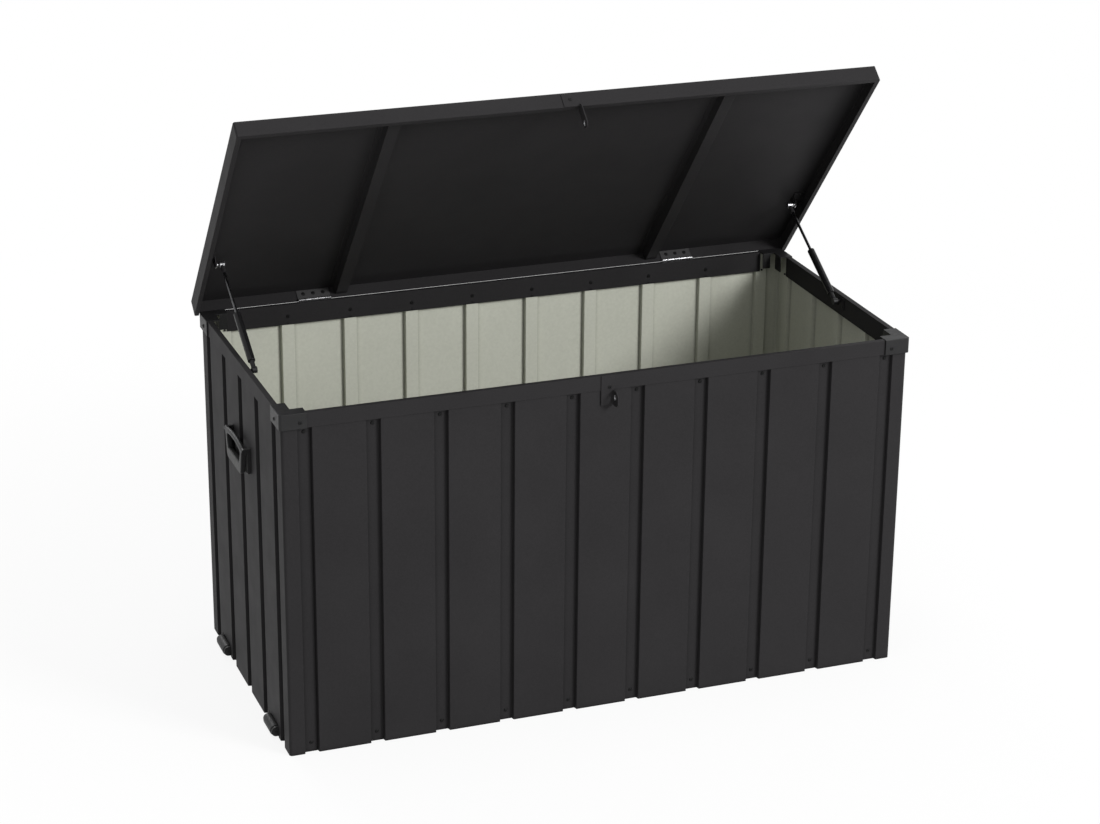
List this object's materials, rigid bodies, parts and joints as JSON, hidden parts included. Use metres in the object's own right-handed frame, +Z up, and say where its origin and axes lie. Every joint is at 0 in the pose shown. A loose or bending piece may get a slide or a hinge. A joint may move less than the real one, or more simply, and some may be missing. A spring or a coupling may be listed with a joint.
{
  "type": "garden storage chest",
  "caption": "Large sheet-steel garden chest with ribbed walls, a shallow hinged lid on gas struts, side handles, padlock eyes and rollers under one end.",
  "frame": {"origin": "centre of the floor's underside, on the ground", "axes": "+X along the front to the right, +Y from the front to the hinged back, +Z up; the lid stands open at its stop"},
  "size_m": [1.326, 0.6598, 1.2071],
  "materials": {
    "powder_coat": "fine matt powder coat, anthracite",
    "black_plastic": "moulded, fine grain",
    "roller_black": "moulded, satin",
    "zinc_steel": "zinc plated",
    "screw_black": "black coated screws",
    "strut_black": "gloss black lacquer",
    "strut_rod": "dark nitrided steel"
  },
  "bodies": {
    "chest": {"front_panel": "powder_coat", "back_panel": "powder_coat", "left_panel": "powder_coat", "right_panel": "powder_coat", "floor_panel": "powder_coat", "top_rail_front": "powder_coat", "top_rail_back": "powder_coat", "top_rail_left": "powder_coat", "top_rail_right": "powder_coat", "bottom_rail_front": "powder_coat", "bottom_rail_back": "powder_coat", "bottom_rail_left": "powder_coat", "bottom_rail_right": "powder_coat", "lock_plate_body": "powder_coat", "wall_screws": "screw_black", "rail_screws": "screw_black", "fitting_screws": "screw_black", "handle_screws": "screw_black", "hinge_pins": "zinc_steel", "roller_axles": "zinc_steel", "roller_housing_front": "black_plastic", "roller_housing_back": "black_plastic", "corner_column_front_left": "powder_coat", "corner_column_front_right": "powder_coat", "corner_column_back_left": "powder_coat", "corner_column_back_right": "powder_coat", "corner_cap_front_left": "black_plastic", "corner_cap_front_right": "black_plastic", "corner_cap_back_left": "black_plastic", "corner_cap_back_right": "black_plastic", "hinge_leaf_body_left": "zinc_steel", "hinge_leaf_body_right": "zinc_steel", "strut_bracket_body_left": "strut_black", "strut_bracket_body_right": "strut_black", "handle_base_left": "black_plastic", "handle_base_right": "black_plastic"},
    "lid": {"lid_pan": "powder_coat", "lock_plate_lid": "powder_coat", "lid_screws": "screw_black", "lid_stiffener_left": "powder_coat", "lid_stiffener_right": "powder_coat", "hinge_leaf_lid_left": "zinc_steel", "hinge_leaf_lid_right": "zinc_steel", "strut_bracket_lid_left": "zinc_steel", "strut_bracket_lid_right": "zinc_steel"},
    "strut_cylinder_left": {"strut_tube_left": "strut_black", "strut_gland_left": "black_plastic", "strut_lower_socket_left": "black_plastic"},
    "strut_rod_left": {"strut_rod_left": "strut_rod", "strut_upper_socket_left": "black_plastic"},
    "strut_cylinder_right": {"strut_tube_right": "strut_black", "strut_gland_right": "black_plastic", "strut_lower_socket_right": "black_plastic"},
    "strut_rod_right": {"strut_rod_right": "strut_rod", "strut_upper_socket_right": "black_plastic"},
    "handle_left": {"handle_grip_left": "black_plastic"},
    "handle_right": {"handle_grip_right": "black_plastic"},
    "roller_front": {"roller_front": "roller_black"},
    "roller_back": {"roller_back": "roller_black"}
  },
  "joints": [
    {"name": "lid_hinge", "type": "hinge", "parent": "chest", "child": "lid", "pos_m": [0, 0.3072, 0.7095], "axis": [1, 0, 0], "range_deg": [0, 50]},
    {"name": "strut_swing_left", "type": "hinge", "parent": "chest", "child": "strut_cylinder_left", "pos_m": [-0.621, -0.025, 0.697], "axis": [1, 0, 0], "range_deg": [-23.44, 0]},
    {"name": "strut_slide_left", "type": "slide", "parent": "strut_cylinder_left", "child": "strut_rod_left", "axis": [0, 0.8617, 0.5075], "range_m": [-0.10027, 0]},
    {"name": "strut_swing_right", "type": "hinge", "parent": "chest", "child": "strut_cylinder_right", "pos_m": [0.621, -0.025, 0.697], "axis": [1, 0, 0], "range_deg": [-23.44, 0]},
    {"name": "strut_slide_right", "type": "slide", "parent": "strut_cylinder_right", "child": "strut_rod_right", "axis": [0, 0.8617, 0.5075], "range_m": [-0.10027, 0]},
    {"name": "handle_swing_left", "type": "hinge", "parent": "chest", "child": "handle_left", "pos_m": [-0.658, 0, 0.547], "axis": [0, 1, 0], "range_deg": [0, 90]},
    {"name": "handle_swing_right", "type": "hinge", "parent": "chest", "child": "handle_right", "pos_m": [0.658, 0, 0.547], "axis": [0, -1, 0], "range_deg": [0, 90]},
    {"name": "roller_spin_front", "type": "hinge", "parent": "chest", "child": "roller_front", "pos_m": [-0.649, -0.1875, 0.013], "axis": [0, 1, 0], "continuous": true},
    {"name": "roller_spin_back", "type": "hinge", "parent": "chest", "child": "roller_back", "pos_m": [-0.649, 0.1875, 0.013], "axis": [0, 1, 0], "continuous": true}
  ],
  "couplings": [
    {"joint": "strut_swing_left", "follows": "lid_hinge", "ratio": -0.46879},
    {"joint": "strut_slide_left", "follows": "lid_hinge", "m_per_rad": -0.1149},
    {"joint": "strut_swing_right", "follows": "lid_hinge", "ratio": -0.46879},
    {"joint": "strut_slide_right", "follows": "lid_hinge", "m_per_rad": -0.1149}
  ]
}
